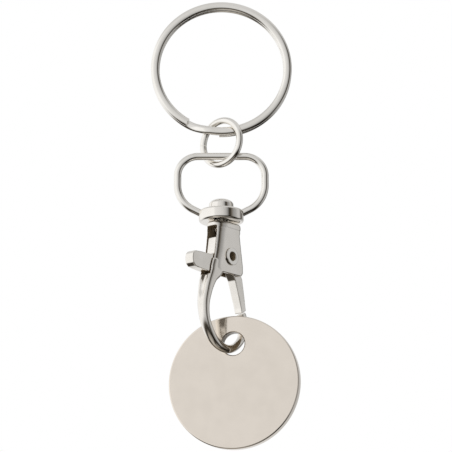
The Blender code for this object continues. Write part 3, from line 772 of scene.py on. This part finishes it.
# Gate lever: a flat zinc lever in the slot. A thumb knob sticks out at the spine, a web fills
# the slot above it, and a thin arm runs down to close the hook. It turns on the rivet.
lever_thickness = 0.0018
lever_boss_radius = 0.0020
lever_boss_from_deg = 112.0
lever_boss_to_deg = -8.0
lever_boss_steps = 16
lever_bore_radius = 0.00105
lever_tip_share = 0.85
well_radius = 0.00165
well_depth = 0.00120
well_below = 0.00003
well_reach = 0.004
well_from_deg = 90.0
well_to_deg = 360.0
well_steps = 40
tip_shares = (0.489, 0.431, 0.373)
flange_shares = ((-0.294, 0.235), (-0.286, 0.270), (-0.258, 0.283), (-0.210, 0.262))
arm_outer_shares = ((0.227, -0.115), (0.337, -0.292), (0.396, -0.584), (0.428, -0.745))
arm_inner_shares = ((0.315, -0.750), (0.246, -0.540), (0.168, -0.330), (0.080, -0.215))
knob_shares = (
    (-0.120, -0.170),
    (-0.250, -0.255),
    (-0.380, -0.302),
    (-0.570, -0.286),
    (-0.680, -0.277),
    (-0.765, -0.262),
    (-0.808, -0.222),
    (-0.826, -0.145),
    (-0.812, -0.073),
    (-0.772, -0.030),
    (-0.580, -0.018),
    (-0.385, -0.020),
    (-0.330, 0.000),
)


def scaled(shares, length):
    return [(x * length, z * length) for x, z in shares]


lever_boss = arc((0, 0), lever_boss_radius, lever_boss_from_deg, lever_boss_to_deg, lever_boss_steps)
lever_outline = scaled(flange_shares, lever_length) + lever_boss
lever_outline += scaled(arm_outer_shares, lever_length)
lever_outline += [(share * gate_reach, -math.sqrt(1 - share ** 2) * gate_reach) for share in tip_shares]
lever_outline += scaled(arm_inner_shares, lever_length) + scaled(knob_shares, lever_length)
lever_plate = plate("lever plate", lever_outline, lever_thickness)
taper_from = 2 * lever_boss_radius
for corner in lever_plate.data.vertices:
    if corner.co.x > 0:
        down = smoothstep((-taper_from - corner.co.z) / (lever_length - taper_from))
        corner.co.y *= 1 - (1 - lever_tip_share) * down
lever_bore = rod("lever bore", lever_bore_radius, cutter_length, face_on)
well_round = arc((0, 0), well_radius, well_from_deg, well_to_deg, well_steps)
well_outline = well_round + [(well_radius, well_reach), (0, well_reach)]
spring_well = plate("spring well", well_outline, well_depth)
spring_well.data.transform(Matrix.Translation((0, well_depth / 2 - well_below, 0)))
cut(lever_plate, [lever_bore, spring_well])
cast_skin(lever_plate, grain=0.000065, passes=18)
gate_place = hook_place @ pivot_place
gate_casting = settle(lever_plate, "gate_casting", satin_nickel, gate_place, sharp_deg=75.0)
drop([lever_bore, spring_well])
show_as(gate_casting, "gate", "cast_nickel", "gate_lever")


# Gate rivet: a hollow brass rivet, plated, through both cheeks of the hook. Each end is rolled
# over into a round flange with a smooth mouth.
rivet_radius = 0.00095
rivet_hole_radius = 0.00075
rivet_flange_radius = 0.001525
rivet_cheek = 0.00173
rivet_rim = 0.00020
rivet_roll_radius = rivet_rim / 2
rivet_mouth_steps = 8
rivet_segments = 72
rivet_roll_centre = (rivet_flange_radius - rivet_roll_radius, rivet_cheek + rivet_roll_radius)
rivet_roll = arc(rivet_roll_centre, rivet_roll_radius, -90.0, 90.0, edge_steps)
rivet_mouth_centre = (rivet_hole_radius + rivet_rim, rivet_cheek)
rivet_mouth = arc(rivet_mouth_centre, rivet_rim, 90.0, 180.0, rivet_mouth_steps)
rivet_half = [(rivet_radius, rivet_cheek)] + rivet_roll + rivet_mouth
rivet_outline = rivet_half + [(radius, -height) for radius, height in reversed(rivet_half)]
rivet_blank = lathe("rivet blank", rivet_outline, rivet_segments)
rivet_tube = settle(rivet_blank, "rivet_tube", ring_nickel, gate_place @ face_on)
gate_frame = gate_place.inverted()


def in_rivet_bore(point):
    x, _, z = gate_frame @ point
    return math.hypot(x, z) < rivet_hole_radius + rivet_rim / 4


# Painted shade: the inside of the rivet's bore gets the dull brown, standing in for the shade in the
# hole.
paint_hollow_shade(rivet_tube, in_rivet_bore)
show_as(rivet_tube, "hook", "ring_nickel", "gate_rivet")


# Gate spring: a small torsion spring of bare steel wire, coiled round the rivet in the lever's
# far side. One leg stands up against the back wall of the slot.
spring_wire_diameter = 0.00030
spring_mid_radius = 0.0013
spring_pitch = 0.00033
spring_turns = 1.75
spring_leg = 0.0026
spring_start = 0.00080
spring_steps = 120

# Bare spring wire keeps the grey, slightly drawn look of the steel.
spring_steel = plated_metal(
    "bare spring steel",
    pale="#9B9993",
    deep="#84827C",
    roughness=0.28,
    grain_size=0.00020,
    grain_height=0.0000020,
    stretch=(1, 1, 6),
)
spring_points = [(spring_mid_radius, spring_start, height) for height in (spring_leg, spring_leg / 2)]
for step in range(spring_steps + 1):
    angle = -math.tau * spring_turns * step / spring_steps
    across = spring_mid_radius * math.cos(angle)
    depth = spring_start - spring_pitch * spring_turns * step / spring_steps
    spring_points.append((across, depth, spring_mid_radius * math.sin(angle)))
spring_route = route_object("gate spring route", spring_points)
run_tree(spring_route, round_wire, {"Wire Diameter": spring_wire_diameter, "Finish": spring_steel})
gate_spring_wire = settle(spring_route, "gate_spring_wire", spring_steel, gate_place)
show_as(gate_spring_wire, "hook", "spring_steel", "gate_spring")


# Coin: a plain round token, stamped and polished, with rounded rims and one round hole. The
# plate is warmer than on the wire, and wiping has left faint hairlines in it.
coin_low, coin_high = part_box("coin")
coin_centre = [(low + high) / 2 for low, high in zip(coin_low, coin_high)]
coin_turn = math.radians(-14.0)
coin_radius = 0.02285 / 2
coin_half = 0.0019 / 2
coin_rim = 0.00024
coin_segments = 256
coin_hole_radius = 0.0020
coin_hole_up = 0.00661
coin_hole_flare = 0.00016
punch_segments = 128
punch_overrun = 0.0002

# Wiped nickel on the coin is warmer and near flat, with hairlines drawn down its face.
coin_nickel = plated_metal(
    "polished nickel on the coin",
    pale="#F0E7DC",
    deep="#ECE3D8",
    roughness=0.09,
    grain_size=0.00050,
    grain_height=0.0000006,
    stretch=(0.3, 1, 3),
)
coin_shoulder = coin_half - coin_rim
coin_outline = [
    (0, coin_half),
    *arc((coin_radius - coin_rim, coin_shoulder), coin_rim, 90.0, 0.0, edge_steps),
    *arc((coin_radius - coin_rim, -coin_shoulder), coin_rim, 0.0, -90.0, edge_steps),
    (0, -coin_half),
]
coin_blank = lathe("coin blank", coin_outline, coin_segments)
coin_blank.data.shade_smooth()
punch_half = coin_half + punch_overrun
punch_mouth_radius = coin_hole_radius + coin_hole_flare + punch_overrun
punch_outline = [
    (0, punch_half),
    (punch_mouth_radius, punch_half),
    (coin_hole_radius, coin_half - coin_hole_flare),
    (coin_hole_radius, coin_hole_flare - coin_half),
    (punch_mouth_radius, -punch_half),
    (0, -punch_half),
]
coin_punch = lathe("coin punch", punch_outline, punch_segments)
coin_blank.data.transform(face_on)
coin_punch.data.transform(Matrix.Translation((0, 0, coin_hole_up)) @ face_on)
cut(coin_blank, [coin_punch])
coin_place = Matrix.Translation(coin_centre) @ Matrix.Rotation(coin_turn, 4, "Z")
coin_disc = settle(coin_blank, "coin_disc", coin_nickel, coin_place, sharp_deg=30.0, flats=True)
drop([coin_punch])
hole_frame = (coin_place @ Matrix.Translation((0, 0, coin_hole_up))).inverted()


def in_coin_hole(point):
    x, _, z = hole_frame @ point
    return math.hypot(x, z) < coin_hole_radius + coin_hole_flare / 4


# Painted shade: the wall of the coin's hole gets the dull brown, standing in for the shade in the hole.
paint_hollow_shade(coin_disc, in_coin_hole)
show_as(coin_disc, "coin_body", "coin_nickel", "coin")


# Light and camera: a white studio seen by direction. White panels stand on the left, a pale wall
# in front and a grey one on the right, with dark gaps between and a dark band round the bench below.
# Each wall stop is an azimuth in degrees from the front; each bench stop is how far down it looks.
studio_walls = (
    (-180, "#ECECEC"),
    (-150, "#E7E7E7"),
    (-136, "#FFFFFF"),
    (-38, "#FFFFFF"),
    (-32, "#EAEAEA"),
    (-10, "#DFDFDF"),
    (10, "#D0D0D0"),
    (24, "#B5B5B5"),
    (34, "#8B8B8B"),
    (40, "#3A352E"),
    (49, "#3A352E"),
    (56, "#746F68"),
    (66, "#959595"),
    (80, "#AAAAAA"),
    (92, "#C5C5C5"),
    (105, "#C9C9C9"),
    (113, "#A6A6A6"),
    (119, "#555049"),
    (125, "#555049"),
    (135, "#9B9B9B"),
    (150, "#BFBFBF"),
    (168, "#DDDDDD"),
    (180, "#ECECEC"),
)
studio_bench = (
    (0.16, "#FFFFFF"),
    (0.36, "#F3F3F3"),
    (0.47, "#CECECE"),
    (0.56, "#817C75"),
    (0.65, "#3A352E"),
    (0.76, "#3A352E"),
    (0.86, "#A8A29A"),
    (0.97, "#BDB8B0"),
)
studio_ceiling = "#D4D4D4"
ceiling_from = 0.50
ceiling_full = 0.85
bench_azimuth = math.radians(0.0)
bench_elevation = math.radians(-84.0)

world = bpy.data.worlds.new("white studio")
bpy.context.scene.world = world
world.use_nodes = True
studio = world.node_tree
studio_link = studio.links.new
heading = add_node(studio, "ShaderNodeTexCoord")
compass = add_node(studio, "ShaderNodeSeparateXYZ")
from_front = add_node(studio, "ShaderNodeMath", {1: -1.0}, operation="MULTIPLY")
azimuth = add_node(studio, "ShaderNodeMath", operation="ARCTAN2")
round_share = add_node(studio, "ShaderNodeMapRange", {"From Min": -math.pi, "From Max": math.pi})
walls = add_node(studio, "ShaderNodeValToRGB")
wall_stops = [((degrees + 180) / 360, hex_colour) for degrees, hex_colour in studio_walls]
fill_ramp(walls.color_ramp, wall_stops)
ceiling_range = {"From Min": ceiling_from, "From Max": ceiling_full}
overhead = add_node(studio, "ShaderNodeMapRange", ceiling_range, interpolation_type="SMOOTHSTEP")
room = add_node(studio, "ShaderNodeMix", {second_colour: linear(studio_ceiling)}, data_type="RGBA")
bench_way = Vector((math.sin(bench_azimuth), -math.cos(bench_azimuth), 0)) * math.cos(bench_elevation)
bench_way.z = math.sin(bench_elevation)
towards_bench = add_node(studio, "ShaderNodeVectorMath", {1: bench_way}, operation="DOT_PRODUCT")
bench = add_node(studio, "ShaderNodeValToRGB")
fill_ramp(bench.color_ramp, studio_bench)
seen_room = add_node(studio, "ShaderNodeMix", {0: 1.0}, data_type="RGBA", blend_type="MULTIPLY")
backdrop = add_node(studio, "ShaderNodeBackground", {"Color": (1.0, 1.0, 1.0, 1.0), "Strength": 1.0})
rays = add_node(studio, "ShaderNodeLightPath")
choice = add_node(studio, "ShaderNodeMixShader")
surround = studio.nodes["Background"]
surround.inputs["Strength"].default_value = 1.0
studio_link(heading.outputs["Generated"], compass.inputs["Vector"])
studio_link(compass.outputs["X"], azimuth.inputs[0])
studio_link(compass.outputs["Y"], from_front.inputs[0])
studio_link(from_front.outputs["Value"], azimuth.inputs[1])
studio_link(azimuth.outputs["Value"], round_share.inputs["Value"])
studio_link(round_share.outputs["Result"], walls.inputs["Fac"])
studio_link(compass.outputs["Z"], overhead.inputs["Value"])
studio_link(overhead.outputs["Result"], room.inputs[0])
studio_link(walls.outputs["Color"], room.inputs[first_colour])
studio_link(heading.outputs["Generated"], towards_bench.inputs[0])
studio_link(towards_bench.outputs["Value"], bench.inputs["Fac"])
studio_link(room.outputs[mixed_colour], seen_room.inputs[first_colour])
studio_link(bench.outputs["Color"], seen_room.inputs[second_colour])
studio_link(seen_room.outputs[mixed_colour], surround.inputs["Color"])
studio_link(rays.outputs["Is Camera Ray"], choice.inputs["Fac"])
studio_link(surround.outputs["Background"], choice.inputs[1])
studio_link(backdrop.outputs["Background"], choice.inputs[2])
studio_link(choice.outputs["Shader"], studio.nodes["World Output"].inputs["Surface"])

view_azimuth = math.radians(0.0)
view_elevation = math.radians(-14.4)
view_distance = 0.292
view_pixels = 452
view_focal_pixels = 1682.0
collar_right_pixels = -4.7
collar_up_pixels = 9.3
sensor_width = 36.0
right = Vector((math.cos(view_azimuth), math.sin(view_azimuth), 0))
up = Vector((
    -math.sin(view_azimuth) * math.sin(view_elevation),
    math.cos(view_azimuth) * math.sin(view_elevation),
    math.cos(view_elevation),
))
back = right.cross(up)
collar_shift = right * collar_right_pixels + up * collar_up_pixels
aim = Vector((0, 0, swivel_z)) - collar_shift * view_distance / view_focal_pixels
camera_data = bpy.data.cameras.new("camera")
camera_data.sensor_width = sensor_width
camera_data.lens = sensor_width * view_focal_pixels / view_pixels
camera_data.clip_start = 0.01
camera = bpy.data.objects.new("camera", camera_data)
turn = Matrix((right, up, back)).transposed().to_4x4()
camera.matrix_world = Matrix.Translation(aim + back * view_distance) @ turn
bpy.context.scene.collection.objects.link(camera)
bpy.context.scene.camera = camera
bpy.context.scene.view_settings.view_transform = "Standard"
